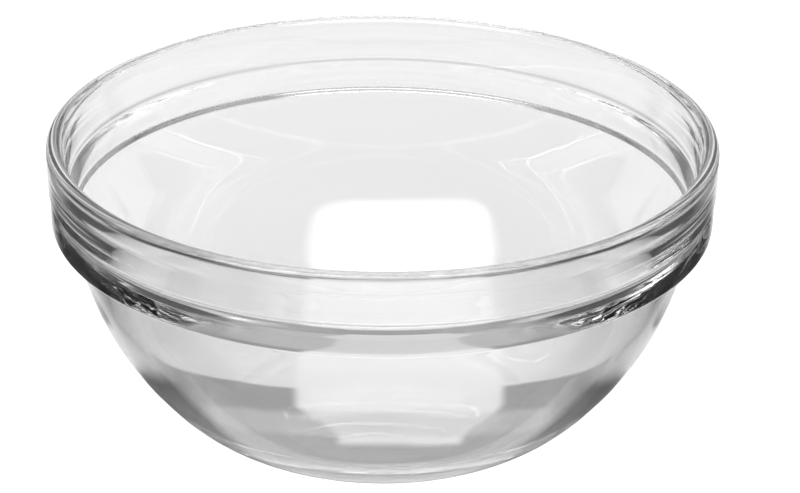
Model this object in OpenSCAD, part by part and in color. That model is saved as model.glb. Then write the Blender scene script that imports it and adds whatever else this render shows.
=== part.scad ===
// Round stackable glass bowl, pressed in one piece.
// The wall is one section turned about the Z axis.
// The table is at height zero and +Z points up.
// All lengths are in millimetres and all angles in degrees.

/* [Rim and band] */
// Outside radius at the rim
rim_r = 70; // [62:0.5:78]
// Height from the table to the top of the rim
rim_h = 65; // [58:0.5:72]
// Thickness of the wall at the rounded rim
rim_t = 3.4; // [2.8:0.1:4]
// Height of the smooth lip, from the top of the rim down to the fine line
lip_h = 3.9; // [3.2:0.1:4.6]
// Height of the fine line pressed in under the lip
line_h = 1.2; // [0.8:0.1:1.6]
// Depth of the fine line
line_depth = 0.2; // [0.15:0.05:0.3]
// Height of the plain panel under the fine line
panel_h = 5.3; // [4.5:0.1:6.1]
// Depth of the panel behind the lip
panel_inset = 0.1; // [0.05:0.05:0.15]
// Height of the shallow groove under the panel
groove_h = 2.3; // [1.9:0.1:2.7]
// Height of the steep side of the groove, under the panel
groove_side_h = 0.9; // [0.7:0.1:1.1]
// Depth of the shallow groove behind the top of the ring
groove_depth = 0.5; // [0.3:0.05:0.7]
// Height of the ring under the groove
ring_h = 5.2; // [4.2:0.1:6.2]
// Depth of the ring's edges behind the lip
ring_inset = 0.7; // [0.5:0.05:0.9]
// How far the ring's rounded face stands out in front of its edges
ring_bulge = 0.15; // [0.1:0.05:0.2]
// Slope of the outside of the panel, from upright
panel_slope = 1; // [0:0.1:2]

/* [Outside of the body] */
// Gap between the collar under the ring and the rim of a bowl it is stacked in
stack_gap = 0.35; // [0.2:0.05:0.5]
// Height of the upright part of the collar
collar_h = 0.7; // [0.5:0.05:1]
// Length of the straight flare under the collar, as a part of the outside radius
flare_share = 0.19; // [0.17:0.005:0.21]
// Slope of the straight flare, from upright
top_slope = 18; // [16:0.5:20]
// Slope of the straight between the two arcs of the body, from upright
middle_slope = 39.5; // [38:0.5:41]
// Slope of the body where it meets the foot, from upright
foot_slope = 70.5; // [68:0.5:73]
// Radius of the flat foot, as a part of the outside radius at the rim
foot_share = 0.467; // [0.44:0.001:0.49]
// Length of the straight between the two arcs of the body, as a part of the outside radius
straight_share = 0.045; // [0.03:0.005:0.06]

/* [Inside] */
// Level thickness from the ring's edges in to the top of the knee of the inner wall
band_t = 4.5; // [4.3:0.1:4.7]
// Height of the top of the knee above the underside of the ring
knee_rise = 5.4; // [5:0.1:5.8]
// Height of the knee, where the inner wall turns from the band to the flare
knee_h = 3; // [2.6:0.1:3.4]
// Thickness of the wall at the straight flare
upper_t = 3; // [2.8:0.1:3.2]
// Thickness of the wall at the straight between the two arcs
lower_t = 3; // [2.7:0.1:3.3]
// Thickness of the floor
floor_t = 3.6; // [3:0.1:4.2]

/* [Hidden] */
// Number of facets for previews
$fn = 180;
// Colour of clear glass
glass_colour = [0.86, 0.92, 0.9, 0.4];
// The flat of the fine line, as a part of its height
flat_share = 0.4;
// Where two pieces of the section meet smoothly, the one reaches this far past the height of the seam
lap = 2;
// and the other stands this much behind it or before it, so that no sliver is left between them
bite = 0.01;

// Heights of the band's edges, from the top down
lip_z = rim_h - lip_h;
panel_top_z = lip_z - line_h;
panel_foot_z = panel_top_z - panel_h;
ring_top_z = panel_foot_z - groove_h;
shoulder_z = ring_top_z - ring_h;
// Half the wall at the rim is the radius of its rounding
round_r = rim_t / 2;
round_z = rim_h - round_r;
// Radii of the outside of the band
panel_top_r = rim_r - panel_inset;
panel_foot_r = panel_top_r - panel_h * tan(panel_slope);
ring_r = rim_r - ring_inset;
line_r = rim_r - line_depth;
groove_r = ring_r - groove_depth;
// Height of each sloping side of the line
line_side_h = line_h * (1 - flat_share) / 2;
// The ring's face is an arc through its two edges
ring_arc_r = (ring_h * ring_h / 4 + ring_bulge * ring_bulge) / (2 * ring_bulge);
ring_arc_x = ring_r + ring_bulge - ring_arc_r;
ring_arc_z = shoulder_z + ring_h / 2;

// Radii of the collar and the foot, and the lengths of the two straights
rim_in_r = rim_r - rim_t;
collar_r = rim_in_r - stack_gap;
foot_r = rim_r * foot_share;
flare_l = rim_r * flare_share;
straight_l = rim_r * straight_share;

// Ends of the straight flare under the collar
flare_top_z = shoulder_z - collar_h;
flare_foot_r = collar_r - flare_l * sin(top_slope);
flare_foot_z = flare_top_z - flare_l * cos(top_slope);

// Below the flare come a large arc, a straight and a smaller arc.
// The two radii are solved so that they run from the flare to the foot.
run_r = flare_foot_r - foot_r - straight_l * sin(middle_slope);
run_z = flare_foot_z - straight_l * cos(middle_slope);
upper_in = cos(top_slope) - cos(middle_slope);
upper_down = sin(middle_slope) - sin(top_slope);
lower_in = cos(middle_slope) - cos(foot_slope);
lower_down = sin(foot_slope) - sin(middle_slope);
spread = lower_in * upper_down - upper_in * lower_down;
body_arc_r = (run_z * lower_in - run_r * lower_down) / spread;
heel_arc_r = (run_r * upper_down - run_z * upper_in) / spread;
// Centre of the large arc
body_x = flare_foot_r - body_arc_r * cos(top_slope);
body_z = flare_foot_z + body_arc_r * sin(top_slope);
// Ends of the straight between the arcs
straight_top_r = body_x + body_arc_r * cos(middle_slope);
straight_top_z = body_z - body_arc_r * sin(middle_slope);
straight_foot_r = straight_top_r - straight_l * sin(middle_slope);
straight_foot_z = straight_top_z - straight_l * cos(middle_slope);
// Centre of the smaller arc
heel_x = straight_foot_r - heel_arc_r * cos(middle_slope);
heel_z = straight_foot_z + heel_arc_r * sin(middle_slope);

// The inside opposite the flare's foot, and the knee above it
opposite_r = flare_foot_r - upper_t * cos(top_slope);
opposite_z = flare_foot_z + upper_t * sin(top_slope);
knee_z = shoulder_z + knee_rise;
knee_r = ring_r - band_t;
knee_foot_z = knee_z - knee_h;
knee_foot_r = opposite_r + (knee_foot_z - opposite_z) * tan(top_slope);

// The inside opposite the straight, and how far up from there its line meets the line of the inner flare
join_r = (straight_top_r + straight_foot_r) / 2 - lower_t * cos(middle_slope);
join_z = (straight_top_z + straight_foot_z) / 2 + lower_t * sin(middle_slope);
turn = middle_slope - top_slope;
meet_l = ((opposite_r - join_r) * cos(top_slope) - (opposite_z - join_z) * sin(top_slope)) / sin(turn);
// The inside arc runs from the join up to the inner flare and touches both lines
inner_arc_r = meet_l / tan(turn / 2);
inner_x = join_r - inner_arc_r * cos(middle_slope);
inner_z = join_z + inner_arc_r * sin(middle_slope);
inner_flare_r = inner_x + inner_arc_r * cos(top_slope);
inner_flare_z = inner_z - inner_arc_r * sin(top_slope);
// The arc from there down to the level floor
bend_r = (join_z - floor_t) / (1 - sin(middle_slope));
bend_x = join_r - bend_r * cos(middle_slope);
bend_z = floor_t + bend_r;

// A level slice of the space to the right of the axis
module slice(low, high) {
    translate([0, low]) square([rim_r, high - low]);
}

// The part of a disc that lies between two heights
module disc_slice(x, z, r, low, high) {
    intersection() {
        translate([x, z]) circle(r);
        slice(low, high);
    }
}

// Outside of the band, from the ring up to the middle of the rim's rounding
module band_outside() {
    disc_slice(ring_arc_x, ring_arc_z, ring_arc_r, shoulder_z, ring_top_z);
    polygon([
        [0, ring_top_z],
        [ring_r, ring_top_z],
        [groove_r, panel_foot_z - groove_side_h],
        [panel_foot_r, panel_foot_z],
        [panel_top_r, panel_top_z],
        [line_r, panel_top_z + line_side_h],
        [line_r, lip_z - line_side_h],
        [rim_r, lip_z],
        [rim_r - bite, round_z],
        [0, round_z]
    ]);
}

// Collar and flare under the ring; the collar centres the bowl in the rim of another
module flare_outside() {
    polygon([
        [0, flare_foot_z],
        [flare_foot_r - bite, flare_foot_z],
        [collar_r, flare_top_z],
        [collar_r, shoulder_z],
        [0, shoulder_z]
    ]);
}

// Outside of the body, from the foot up to the flare
module body_outside() {
    disc_slice(body_x, body_z, body_arc_r, straight_top_z - lap, flare_foot_z + lap);
    polygon([
        [0, 0],
        [heel_x, 0],
        [straight_foot_r - bite, straight_foot_z],
        [straight_top_r - bite, straight_top_z],
        [0, straight_top_z]
    ]);
    disc_slice(heel_x, heel_z, heel_arc_r, 0, straight_foot_z + lap);
}

// The hollow, from the floor up to the middle of the rim's rounding.
// The polygon covers its middle at any height of the bowl, and the two discs add what the arcs bulge out.
module hollow() {
    polygon([
        [0, floor_t],
        [bend_x, floor_t],
        [join_r - bite, join_z],
        [inner_flare_r - bite, inner_flare_z],
        [knee_foot_r, knee_foot_z],
        [knee_r, knee_z],
        [rim_in_r + bite, round_z],
        [0, round_z]
    ]);
    disc_slice(inner_x, inner_z, inner_arc_r, join_z, inner_flare_z + lap);
    disc_slice(bend_x, bend_z, bend_r + bite, floor_t, join_z + lap);
}

// Half-round top of the rim
module rim_round() {
    translate([rim_r - round_r, round_z]) circle(round_r);
}

// The bowl's section
module section() {
    difference() {
        union() {
            band_outside();
            flare_outside();
            body_outside();
        }
        hollow();
    }
    rim_round();
}

// The whole bowl
module bowl() {
    color(glass_colour) rotate_extrude() section();
}

bowl();
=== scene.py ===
"""Stackable bowl of clear pressed glass on a white sweep, in metres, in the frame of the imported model."""
import math

import bmesh
import bpy
import numpy as np
from mathutils import Matrix, Vector


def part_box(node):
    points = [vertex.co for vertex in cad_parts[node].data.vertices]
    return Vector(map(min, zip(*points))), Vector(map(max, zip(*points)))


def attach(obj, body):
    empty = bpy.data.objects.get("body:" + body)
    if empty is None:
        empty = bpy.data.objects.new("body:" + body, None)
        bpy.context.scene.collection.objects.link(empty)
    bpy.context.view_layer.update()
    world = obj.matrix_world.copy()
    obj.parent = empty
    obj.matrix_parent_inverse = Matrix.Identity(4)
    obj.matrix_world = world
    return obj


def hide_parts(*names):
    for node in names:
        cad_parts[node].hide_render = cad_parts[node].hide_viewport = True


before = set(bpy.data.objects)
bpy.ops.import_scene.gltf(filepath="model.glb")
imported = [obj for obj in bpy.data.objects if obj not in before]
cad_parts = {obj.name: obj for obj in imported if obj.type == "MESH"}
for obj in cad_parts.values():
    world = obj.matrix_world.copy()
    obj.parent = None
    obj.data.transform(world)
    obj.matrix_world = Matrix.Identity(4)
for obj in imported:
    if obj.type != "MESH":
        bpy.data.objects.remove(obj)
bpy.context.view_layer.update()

MM = 0.001

# Driving sizes of the bowl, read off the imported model
BOX_LOW, BOX_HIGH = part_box("bowl")
RIM_R = (BOX_HIGH[0] - BOX_LOW[0]) / 2
RIM_H = BOX_HIGH[2]

# Sizes of the wall section; slopes are measured from upright
RIM_T = 3.4 * MM
LIP_H = 3.9 * MM
LINE_H = 1.2 * MM
LINE_SIDE_H = 0.36 * MM
LINE_DEPTH = 0.2 * MM
PANEL_H = 5.3 * MM
PANEL_INSET = 0.1 * MM
PANEL_SLOPE = math.radians(1.0)
GROOVE_H = 2.3 * MM
GROOVE_DEPTH = 0.5 * MM
GROOVE_SIDE_H = 0.9 * MM
RING_H = 5.2 * MM
RING_INSET = 0.7 * MM
RING_BULGE = 0.15 * MM
BAND_T = 4.5 * MM
STACK_GAP = 0.35 * MM
COLLAR_H = 0.7 * MM
FLARE_L = 0.19 * RIM_R
STRAIGHT_L = 0.045 * RIM_R
FOOT_R = 0.467 * RIM_R
KNEE_RISE = 5.4 * MM
KNEE_H = 3.0 * MM
UPPER_T = 3.0 * MM
LOWER_T = 3.0 * MM
FLOOR_T = 3.6 * MM
TOP_SLOPE = math.radians(18.0)
MIDDLE_SLOPE = math.radians(39.5)
FOOT_SLOPE = math.radians(70.5)
FLOOR_SLOPE = math.radians(90.0)

# Points on the arcs of the outline before it is thinned
BODY_POINTS = 60
RING_POINTS = 30
RIM_POINTS = 40
BEND_POINTS = 90

# How finely the wall is turned and how softly its edges are rounded
TURNS = 352
EDGE_ROUNDING = 0.42 * MM
ROUNDING_REACH = 4 * EDGE_ROUNDING
SECTION_STEP = 0.10 * MM
SAME_PLACE = 1e-6 * MM
# The most that the thinned outline turns or runs on before it gets its next point
LARGEST_TURN = math.radians(2.0)
LARGEST_RUN = 1.4 * MM

# Camera, fitted to the photograph's 800 x 493 frame; distance in rim radii, angles in degrees
PHOTO_W = 800
FOCAL_PX = 3017.7
CAMERA_DISTANCE = 9.0
CAMERA_ELEVATION = 22.971
CAMERA_YAW = 0.372
CAMERA_TILT = 2.042
CAMERA_ROLL = -0.545
SENSOR = 36.0

# The glass: its tint, how it bends light, the rate per metre at which light fades in it, and its ripple
GLASS_TINT = (0.98, 0.98, 0.98, 1)
GLASS_INDEX = 1.52
GLASS_ABSORPTION = 2.2
RIPPLE_SCALE = 55.0
RIPPLE_DETAIL = 2.0
RIPPLE_ROUGHNESS = 0.4
RIPPLE_STRENGTH = 0.12
RIPPLE_HEIGHT = 0.4 * MM

# The floor's width, and how far it lies under the foot
FLOOR_SIZE = 12.0
FLOOR_DROP = 0.05 * MM
# The white sweep: where its edge starts and ends to fade into the dark table, and how fast it widens
# to the back
SWEEP_EDGE = 0.65 * RIM_R
TABLE_EDGE = 1.45 * RIM_R
SWEEP_SPREAD = 0.5
SWEEP_COLOUR = 0.6
TABLE_COLOUR = 0.06
# Where the dark table ends at the side and in front, and how far it fades there
TABLE_END = 2.6 * RIM_R
TABLE_FRONT = -1.3 * RIM_R
TABLE_FADE = 0.8 * RIM_R
# Plain white added to the sweep for the eye, and painted light for what glass shows of it, growing
# from the front to the back
SWEEP_EYE_LIFT = 0.75
SWEEP_NEAR_LIFT = 0.12
SWEEP_FAR_LIFT = 0.38
SWEEP_NEAR_Y = -1.0 * RIM_R
SWEEP_FAR_Y = 1.6 * RIM_R
# The painted light strip on the table that only glass shows: narrow in front, wider behind its neck
STRIP_X = 0.06 * RIM_R
STRIP_NEAR_HALF = 0.19 * RIM_R
STRIP_FAR_HALF = 0.33 * RIM_R
STRIP_NECK_NEAR = -0.28 * RIM_R
STRIP_NECK_FAR = -0.08 * RIM_R
STRIP_NEAR_Y = -0.3 * RIM_R
STRIP_FAR_Y = 0.9 * RIM_R
STRIP_BLUR = 0.022 * RIM_R
STRIP_FADE = 0.3 * RIM_R
STRIP_LIFT = 0.12
# The painted shade beside the strip, and the share of the light that it takes in its middle and at its ends
SHADE_NEAR_Y = -0.4 * RIM_R
SHADE_FAR_Y = 0.07 * RIM_R
SHADE_HALF = 0.95 * RIM_R
SHADE_FADE = 0.12 * RIM_R
SHADE_EVEN = 0.35 * RIM_R
SHADE_DIM = 0.62
SHADE_END_DIM = 0.85
# A bar of painted half light across both: the share of the painted shade that is left there beside
# the strip and in it
BAR_Y = -0.2 * RIM_R
BAR_HALF = 0.06 * RIM_R
BAR_END = 0.65 * RIM_R
BAR_SHADE = 0.55
BAR_STRIP_SHADE = 0.35

# The room: how bright it is behind the bowl, at both sides, overhead, behind the camera and in the
# corners there
ROOM_BACK = 0.6
ROOM_SIDE = 0.10
ROOM_TOP = 0.85
ROOM_FRONT = 0.03
ROOM_CORNER = 0.02
# How far a direction leans sideways, up or to the camera where one of these starts and ends to fade
# into another
SIDE_RANGE = (0.35, 0.6)
TOP_RANGE = (0.68, 0.9)
FRONT_RANGE = (0.1, 0.3)
CORNER_RANGE = (0.06, 0.2)

# The softbox: its place, what it is aimed at, its size and strength, where its cloth starts to fade
# from the middle out, and how square its rounded shape is
SOFTBOX_PLACE = (-0.26, -0.69, 1.06)
SOFTBOX_TARGET = (-0.26, 0.0, 0.05)
SOFTBOX_SIZE = (2.08, 1.08, 1.0)
SOFTBOX_STRENGTH = 4.2
SOFTBOX_FADE = 0.74
SOFTBOX_ROUNDING = 4.0

# How often a path may meet glass and plain surfaces, and the brightest light that it may bring
GLASS_BOUNCES = 80
PLAIN_BOUNCES = 4
BRIGHTEST_BOUNCE = 10.0

# Heights of the band's edges, from the top down, and the radius of the ring's edges
LIP_Z = RIM_H - LIP_H
PANEL_TOP_Z = LIP_Z - LINE_H
PANEL_FOOT_Z = PANEL_TOP_Z - PANEL_H
RING_TOP_Z = PANEL_FOOT_Z - GROOVE_H
SHOULDER_Z = RING_TOP_Z - RING_H
RING_R = RIM_R - RING_INSET


def arc(centre, radius, slope_from, slope_to, count):
    """Points on a circle, from one slope of its wall to another; a slope is measured from upright."""
    slopes = np.linspace(slope_from, slope_to, count)
    return [(centre[0] + radius * math.cos(s), centre[1] - radius * math.sin(s)) for s in slopes]


def down_wall(point, slope, length):
    """The point moved down along a wall of this slope."""
    return point[0] - length * math.sin(slope), point[1] - length * math.cos(slope)


def inward(point, slope, depth):
    """The point moved square into a wall of this slope."""
    return point[0] - depth * math.cos(slope), point[1] + depth * math.sin(slope)


def body_radii(flare_foot):
    """Radii of the large arc and the heel arc, which run from the flare to the foot."""
    run_r = flare_foot[0] - FOOT_R - STRAIGHT_L * math.sin(MIDDLE_SLOPE)
    run_z = flare_foot[1] - STRAIGHT_L * math.cos(MIDDLE_SLOPE)
    upper_in = math.cos(TOP_SLOPE) - math.cos(MIDDLE_SLOPE)
    upper_down = math.sin(MIDDLE_SLOPE) - math.sin(TOP_SLOPE)
    lower_in = math.cos(MIDDLE_SLOPE) - math.cos(FOOT_SLOPE)
    lower_down = math.sin(FOOT_SLOPE) - math.sin(MIDDLE_SLOPE)
    spread = lower_in * upper_down - upper_in * lower_down
    body_r = (run_z * lower_in - run_r * lower_down) / spread
    heel_r = (run_r * upper_down - run_z * upper_in) / spread
    return body_r, heel_r


def band_outside():
    """From the underside of the ring up to the lip."""
    panel_top_r = RIM_R - PANEL_INSET
    line_r = RIM_R - LINE_DEPTH
    arc_r = (RING_H ** 2 / 4 + RING_BULGE ** 2) / (2 * RING_BULGE)
    middle = (RING_R + RING_BULGE - arc_r, SHOULDER_Z + RING_H / 2)
    lean = math.asin(RING_H / 2 / arc_r)
    return arc(middle, arc_r, lean, -lean, RING_POINTS) + [
        (RING_R - GROOVE_DEPTH, PANEL_FOOT_Z - GROOVE_SIDE_H),
        (panel_top_r - PANEL_H * math.tan(PANEL_SLOPE), PANEL_FOOT_Z),
        (panel_top_r, PANEL_TOP_Z),
        (line_r, PANEL_TOP_Z + LINE_SIDE_H),
        (line_r, LIP_Z - LINE_SIDE_H),
        (RIM_R, LIP_Z),
    ]


def inside(flare_foot, straight_top):
    """From the knee down the flare, the large arc and the bend to the middle of the floor."""
    knee_z = SHOULDER_Z + KNEE_RISE
    knee_foot_z = knee_z - KNEE_H
    opposite = inward(flare_foot, TOP_SLOPE, UPPER_T)
    join = inward(down_wall(straight_top, MIDDLE_SLOPE, STRAIGHT_L / 2), MIDDLE_SLOPE, LOWER_T)
    turn = MIDDLE_SLOPE - TOP_SLOPE
    across, up = opposite[0] - join[0], opposite[1] - join[1]
    meet_l = (across * math.cos(TOP_SLOPE) - up * math.sin(TOP_SLOPE)) / math.sin(turn)
    inner_r = meet_l / math.tan(turn / 2)
    bend_r = (join[1] - FLOOR_T) / (1 - math.sin(MIDDLE_SLOPE))
    points = [
        (RING_R - BAND_T, knee_z),
        (opposite[0] + (knee_foot_z - opposite[1]) * math.tan(TOP_SLOPE), knee_foot_z),
    ]
    points += arc(inward(join, MIDDLE_SLOPE, inner_r), inner_r, TOP_SLOPE, MIDDLE_SLOPE, BODY_POINTS)
    points += arc(inward(join, MIDDLE_SLOPE, bend_r), bend_r, MIDDLE_SLOPE, FLOOR_SLOPE, BEND_POINTS)
    points.append((0.0, FLOOR_T))
    return points


def section():
    """The wall's outline from the middle of the foot out, up, over the rim and down the inside."""
    collar_r = RIM_R - RIM_T - STACK_GAP
    flare_top = (collar_r, SHOULDER_Z - COLLAR_H)
    flare_foot = down_wall(flare_top, TOP_SLOPE, FLARE_L)
    body_r, heel_r = body_radii(flare_foot)
    body = inward(flare_foot, TOP_SLOPE, body_r)
    straight_top = inward(body, MIDDLE_SLOPE, -body_r)
    heel = inward(down_wall(straight_top, MIDDLE_SLOPE, STRAIGHT_L), MIDDLE_SLOPE, heel_r)
    round_r = RIM_T / 2
    points = [(0.0, 0.0), (FOOT_R, 0.0)]
    points += arc(heel, heel_r, FOOT_SLOPE, MIDDLE_SLOPE, BODY_POINTS)
    points += arc(body, body_r, MIDDLE_SLOPE, TOP_SLOPE, BODY_POINTS)
    points += [flare_top, (collar_r, SHOULDER_Z)]
    points += band_outside()
    points += arc((RIM_R - round_r, RIM_H - round_r), round_r, 0.0, -math.pi, RIM_POINTS)
    points += inside(flare_foot, straight_top)
    return np.array(points)


def rounded(values, sign, bell):
    """Values along the outline, averaged with a bell curve; sign says how they go on past the axis."""
    reach = len(bell) // 2
    before = sign * values[reach:0:-1]
    after = sign * values[-2:-reach - 2:-1]
    return np.convolve(np.r_[before, values, after], bell, "valid")


def softened(points):
    """The outline with its edges rounded, thinned to the points that its shape needs."""
    length = np.r_[0, np.cumsum(np.hypot(*np.diff(points, axis=0).T))]
    keep = np.r_[True, np.diff(length) > SAME_PLACE]
    points, length = points[keep], length[keep]
    places = np.linspace(0, length[-1], int(length[-1] / SECTION_STEP))
    reach = int(ROUNDING_REACH / SECTION_STEP)
    bell = np.exp(-0.5 * (np.arange(-reach, reach + 1) * SECTION_STEP / EDGE_ROUNDING) ** 2)
    bell /= bell.sum()
    r = rounded(np.interp(places, length, points[:, 0]), -1, bell)
    z = rounded(np.interp(places, length, points[:, 1]), 1, bell)
    kept, heading = [0], None
    for i in range(1, len(r) - 1):
        way = math.atan2(z[i + 1] - z[i], r[i + 1] - r[i])
        heading = way if heading is None else heading
        turned = abs((way - heading + math.pi) % (2 * math.pi) - math.pi)
        run = math.hypot(r[i] - r[kept[-1]], z[i] - z[kept[-1]])
        if turned > LARGEST_TURN or run > LARGEST_RUN:
            kept.append(i)
            heading = way
    kept.append(len(r) - 1)
    return r[kept], z[kept]


def turned_mesh(name, r, z):
    """The outline turned about the Z axis as one closed mesh."""
    mesh = bpy.data.meshes.new(name)
    bm = bmesh.new()
    first = bm.verts.new((0, 0, z[0]))
    last = bm.verts.new((0, 0, z[-1]))
    angles = [2 * math.pi * k / TURNS for k in range(TURNS)]
    rings = [
        [bm.verts.new((ri * math.cos(a), ri * math.sin(a), zi)) for a in angles]
        for ri, zi in zip(r[1:-1], z[1:-1])
    ]
    for k in range(TURNS):
        n = (k + 1) % TURNS
        bm.faces.new((first, rings[0][n], rings[0][k]))
        bm.faces.new((last, rings[-1][k], rings[-1][n]))
        for low, high in zip(rings, rings[1:]):
            bm.faces.new((low[k], low[n], high[n], high[k]))
    bmesh.ops.recalc_face_normals(bm, faces=bm.faces)
    for face in bm.faces:
        face.smooth = True
    bm.to_mesh(mesh)
    bm.free()
    piece = bpy.data.objects.new(name, mesh)
    bpy.context.collection.objects.link(piece)
    return piece


def glass_material():
    """Clear fire-polished glass with the faint ripple that pressing leaves."""
    mat = bpy.data.materials.new("pressed_glass")
    mat.use_nodes = True
    tree = mat.node_tree
    shader = tree.nodes["Principled BSDF"]
    shader.inputs["Base Color"].default_value = GLASS_TINT
    shader.inputs["Roughness"].default_value = 0.0
    shader.inputs["IOR"].default_value = GLASS_INDEX
    shader.inputs["Transmission Weight"].default_value = 1.0
    coords = tree.nodes.new("ShaderNodeTexCoord")
    ripple = tree.nodes.new("ShaderNodeTexNoise")
    ripple.inputs["Scale"].default_value = RIPPLE_SCALE
    ripple.inputs["Detail"].default_value = RIPPLE_DETAIL
    ripple.inputs["Roughness"].default_value = RIPPLE_ROUGHNESS
    bump = tree.nodes.new("ShaderNodeBump")
    bump.inputs["Strength"].default_value = RIPPLE_STRENGTH
    bump.inputs["Distance"].default_value = RIPPLE_HEIGHT
    tree.links.new(coords.outputs["Object"], ripple.inputs["Vector"])
    tree.links.new(ripple.outputs["Fac"], bump.inputs["Height"])
    tree.links.new(bump.outputs["Normal"], shader.inputs["Normal"])
    fading = tree.nodes.new("ShaderNodeVolumeAbsorption")
    fading.inputs["Color"].default_value = (0.0, 0.0, 0.0, 1)
    fading.inputs["Density"].default_value = GLASS_ABSORPTION
    tree.links.new(fading.outputs["Volume"], tree.nodes["Material Output"].inputs["Volume"])
    return mat


def math_node(tree, operation, first, second):
    """A Math node on two inputs, each a socket or a number."""
    node = tree.nodes.new("ShaderNodeMath")
    node.operation = operation
    for socket, value in zip(node.inputs, (first, second)):
        if isinstance(value, (int, float)):
            socket.default_value = value
        else:
            tree.links.new(value, socket)
    return node.outputs[0]


def plus(tree, first, second):
    """The sum of two inputs."""
    return math_node(tree, "ADD", first, second)


def minus(tree, first, second):
    """The first input less the second."""
    return math_node(tree, "SUBTRACT", first, second)


def times(tree, first, *factors):
    """The product of all inputs."""
    for factor in factors:
        first = math_node(tree, "MULTIPLY", first, factor)
    return first


def unsigned(tree, value):
    """The value without its sign."""
    return math_node(tree, "ABSOLUTE", value, 0.0)


def apart(tree, value, place):
    """How far the value is from the place, on either side."""
    return unsigned(tree, minus(tree, value, place))


def ramp(tree, value, start, end, low, high):
    """A smooth change from low to high as value goes from start to end."""
    node = tree.nodes.new("ShaderNodeMapRange")
    node.interpolation_type = "SMOOTHSTEP"
    tree.links.new(value, node.inputs["Value"])
    for name, number in (("From Min", start), ("From Max", end), ("To Min", low), ("To Max", high)):
        node.inputs[name].default_value = number
    return node.outputs["Result"]


def rise(tree, value, start, end):
    """A smooth change from 0 to 1 as value goes from start to end."""
    return ramp(tree, value, start, end, 0.0, 1.0)


def fall(tree, value, start, end):
    """A smooth change from 1 to 0 as value goes from start to end."""
    return ramp(tree, value, start, end, 1.0, 0.0)


def blend(tree, share, first, second):
    """From the first input to the second as share goes from 0 to 1; each is a socket or a number."""
    return plus(tree, first, times(tree, share, minus(tree, second, first)))


def xyz(tree, vector):
    """The three parts of a vector."""
    split = tree.nodes.new("ShaderNodeSeparateXYZ")
    tree.links.new(vector, split.inputs[0])
    return split.outputs


def dark_table(tree, x, y):
    """Where the table is dark: 1 at both sides of the sweep near the bowl, 0 on the sweep and far away."""
    off_middle = unsigned(tree, x)
    widening = times(tree, math_node(tree, "MAXIMUM", y, 0.0), SWEEP_SPREAD)
    off_sweep = rise(tree, minus(tree, off_middle, widening), SWEEP_EDGE, TABLE_EDGE)
    behind_front = rise(tree, y, TABLE_FRONT - TABLE_FADE, TABLE_FRONT)
    near = fall(tree, off_middle, TABLE_END, TABLE_END + TABLE_FADE)
    return times(tree, off_sweep, behind_front, near)


def painted_light_strip(tree, x, y):
    """Painted light for the softbox shining through the bowl's mouth onto the table: 1 in the strip, 0
    beside it.
    """
    half = ramp(tree, y, STRIP_NECK_NEAR, STRIP_NECK_FAR, STRIP_NEAR_HALF, STRIP_FAR_HALF)
    across = fall(tree, minus(tree, apart(tree, x, STRIP_X), half), -STRIP_BLUR, STRIP_BLUR)
    near = rise(tree, y, STRIP_NEAR_Y - STRIP_BLUR, STRIP_NEAR_Y + STRIP_BLUR)
    far = fall(tree, y, STRIP_FAR_Y - STRIP_FADE, STRIP_FAR_Y)
    return times(tree, across, near, far)


def painted_half_light(tree, x, y):
    """Where the bar of painted half light lies: 1 in it, 0 beside it."""
    along = fall(tree, apart(tree, y, BAR_Y), BAR_HALF - STRIP_BLUR, BAR_HALF + STRIP_BLUR)
    return times(tree, along, fall(tree, unsigned(tree, x), BAR_END - SHADE_FADE, BAR_END))


def painted_shade_patch(tree, x, y, strip):
    """Painted shade: how much light the foot and the thick heel would keep off the table beside the strip.
    """
    off_middle = unsigned(tree, x)
    far = fall(tree, y, SHADE_FAR_Y - STRIP_BLUR, SHADE_FAR_Y + STRIP_BLUR)
    near = rise(tree, y, SHADE_NEAR_Y - SHADE_FADE, SHADE_NEAR_Y)
    across = fall(tree, off_middle, SHADE_HALF - SHADE_FADE, SHADE_HALF)
    in_bar = blend(tree, strip, BAR_SHADE, BAR_STRIP_SHADE)
    share = blend(tree, painted_half_light(tree, x, y), minus(tree, 1.0, strip), in_bar)
    depth = ramp(tree, off_middle, SHADE_EVEN, SHADE_HALF, SHADE_DIM, SHADE_END_DIM)
    return times(tree, far, near, across, share, depth)


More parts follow.
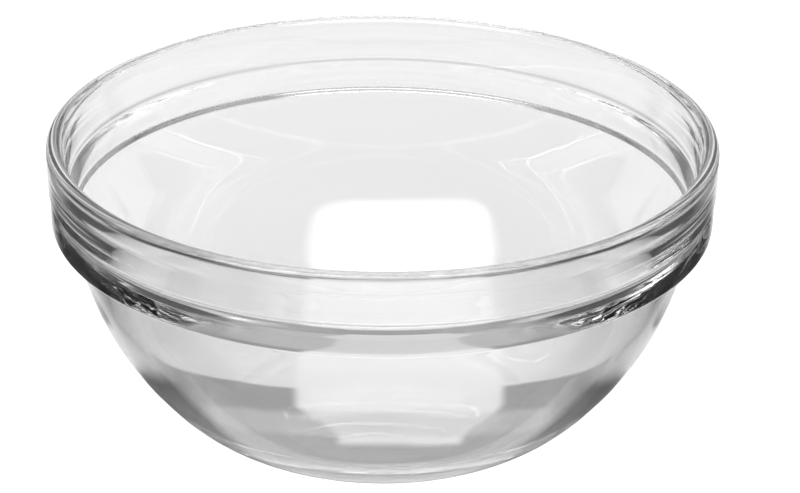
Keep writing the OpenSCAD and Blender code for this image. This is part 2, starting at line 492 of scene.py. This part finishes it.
def floor_material():
    """White sweep that keeps the bowl's shadow, a dark table beside it, and what glass shows of both, with
    painted light and shade.
    """
    mat = bpy.data.materials.new("white_sweep")
    mat.use_nodes = True
    tree = mat.node_tree
    shader = tree.nodes["Principled BSDF"]
    shader.inputs["Roughness"].default_value = 1.0
    shader.inputs["Specular IOR Level"].default_value = 0.0
    shader.inputs["Emission Color"].default_value = (1, 1, 1, 1)
    x, y, _ = xyz(tree, tree.nodes.new("ShaderNodeNewGeometry").outputs["Position"])
    path = tree.nodes.new("ShaderNodeLightPath")
    mirrored = path.outputs["Is Glossy Ray"]
    bent = path.outputs["Is Transmission Ray"]
    by_glass = math_node(tree, "MAXIMUM", mirrored, bent)
    dark = dark_table(tree, x, y)
    strip = painted_light_strip(tree, x, y)
    # Painted shade, for glass rays only: it darkens the table's colour and its glow
    dimming = minus(tree, 1.0, times(tree, painted_shade_patch(tree, x, y, strip), by_glass))
    colour = times(tree, ramp(tree, dark, 0.0, 1.0, SWEEP_COLOUR, TABLE_COLOUR), dimming)
    join = tree.nodes.new("ShaderNodeCombineColor")
    for name in ("Red", "Green", "Blue"):
        tree.links.new(colour, join.inputs[name])
    tree.links.new(join.outputs[0], shader.inputs["Base Color"])
    eye_lift = ramp(tree, dark, 0.0, 1.0, SWEEP_EYE_LIFT, 1.0)
    for_eye = times(tree, eye_lift, path.outputs["Is Camera Ray"])
    # Painted light for glass rays: a glow on the sweep that grows toward the back
    sweep_lift = ramp(tree, y, SWEEP_NEAR_Y, SWEEP_FAR_Y, SWEEP_NEAR_LIFT, SWEEP_FAR_LIFT)
    sweep_lift = times(tree, sweep_lift, minus(tree, 1.0, dark), dimming)
    # The strip adds painted light to the glow that glass rays see
    for_glass = times(tree, plus(tree, sweep_lift, times(tree, strip, STRIP_LIFT)), by_glass)
    tree.links.new(plus(tree, for_eye, for_glass), shader.inputs["Emission Strength"])
    return mat


def add_bowl():
    bowl = turned_mesh("glass_bowl", *softened(section()))
    bowl.data.materials.append(glass_material())
    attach(bowl, "root")
    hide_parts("bowl")


def add_floor():
    bpy.ops.mesh.primitive_plane_add(size=FLOOR_SIZE, location=(0, 0, -FLOOR_DROP))
    floor = bpy.context.object
    floor.name = "floor"
    floor.data.materials.append(floor_material())


def add_world():
    """A room bright behind the bowl and overhead, dark elsewhere, and white where the camera sees it."""
    world = bpy.data.worlds.new("studio")
    bpy.context.scene.world = world
    world.use_nodes = True
    tree = world.node_tree
    tree.nodes.clear()
    out = tree.nodes.new("ShaderNodeOutputWorld")
    background = tree.nodes.new("ShaderNodeBackground")
    x, y, z = xyz(tree, tree.nodes.new("ShaderNodeTexCoord").outputs["Generated"])
    aside = unsigned(tree, x)
    behind_bowl = ramp(tree, aside, *SIDE_RANGE, ROOM_BACK, ROOM_SIDE)
    behind_camera = ramp(tree, aside, *CORNER_RANGE, ROOM_FRONT, ROOM_CORNER)
    to_camera = rise(tree, times(tree, y, -1.0), *FRONT_RANGE)
    level = blend(tree, to_camera, behind_bowl, behind_camera)
    level = blend(tree, rise(tree, z, *TOP_RANGE), level, ROOM_TOP)
    path = tree.nodes.new("ShaderNodeLightPath")
    level = blend(tree, path.outputs["Is Camera Ray"], level, 1.0)
    tree.links.new(level, background.inputs["Strength"])
    tree.links.new(background.outputs[0], out.inputs[0])


def softbox_material():
    """A lamp's cloth: bright in the middle, fading at the rounded edges."""
    mat = bpy.data.materials.new("softbox_cloth")
    mat.use_nodes = True
    tree = mat.node_tree
    tree.nodes.clear()
    out = tree.nodes.new("ShaderNodeOutputMaterial")
    glow = tree.nodes.new("ShaderNodeEmission")
    across, along, _ = xyz(tree, tree.nodes.new("ShaderNodeTexCoord").outputs["Generated"])
    powers = [
        math_node(tree, "POWER", times(tree, apart(tree, part, 0.5), 2.0), SOFTBOX_ROUNDING)
        for part in (across, along)
    ]
    reach = math_node(tree, "POWER", plus(tree, *powers), 1 / SOFTBOX_ROUNDING)
    strength = ramp(tree, reach, SOFTBOX_FADE, 1.0, SOFTBOX_STRENGTH, 0.0)
    tree.links.new(strength, glow.inputs["Strength"])
    tree.links.new(glow.outputs[0], out.inputs[0])
    return mat


def add_softbox():
    """A glowing cloth aimed at the bowl, which the eye doesn't see itself."""
    bpy.ops.mesh.primitive_plane_add(size=1.0, location=SOFTBOX_PLACE)
    box = bpy.context.object
    box.name = "overhead_softbox"
    box.scale = SOFTBOX_SIZE
    aim = Vector(SOFTBOX_TARGET) - Vector(SOFTBOX_PLACE)
    box.rotation_euler = aim.to_track_quat("-Z", "Y").to_euler()
    box.data.materials.append(softbox_material())
    box.visible_camera = False
    box.visible_shadow = False


def add_camera():
    """The photograph's camera, turned about the middle of the rim."""
    elevation = math.radians(CAMERA_ELEVATION)
    yaw = math.radians(CAMERA_YAW)
    tilt = math.radians(CAMERA_TILT)
    roll = math.radians(CAMERA_ROLL)
    pitch = -(elevation + tilt)
    rim_middle = Vector((0, 0, RIM_H - RIM_T / 2))
    away = Vector((0, -math.cos(elevation), math.sin(elevation)))
    ahead = Vector((math.sin(yaw) * math.cos(pitch), math.cos(yaw) * math.cos(pitch), math.sin(pitch)))
    right = Vector((math.cos(yaw), -math.sin(yaw), 0))
    down = ahead.cross(right)
    rolled_right = math.cos(roll) * right + math.sin(roll) * down
    rolled_down = math.cos(roll) * down - math.sin(roll) * right
    pose = Matrix((rolled_right, -rolled_down, -ahead)).transposed().to_4x4()
    pose.translation = rim_middle + CAMERA_DISTANCE * RIM_R * away
    camera = bpy.data.objects.new("camera", bpy.data.cameras.new("camera"))
    camera.data.sensor_width = SENSOR
    camera.data.lens = SENSOR * FOCAL_PX / PHOTO_W
    camera.matrix_world = pose
    bpy.context.collection.objects.link(camera)
    bpy.context.scene.camera = camera


def set_render():
    scene = bpy.context.scene
    scene.view_settings.view_transform = "Standard"
    scene.cycles.max_bounces = GLASS_BOUNCES
    scene.cycles.transmission_bounces = GLASS_BOUNCES
    scene.cycles.glossy_bounces = GLASS_BOUNCES
    scene.cycles.diffuse_bounces = PLAIN_BOUNCES
    scene.cycles.blur_glossy = 0.0
    scene.cycles.sample_clamp_indirect = BRIGHTEST_BOUNCE


add_camera()
set_render()
add_bowl()
add_floor()
add_world()
add_softbox()
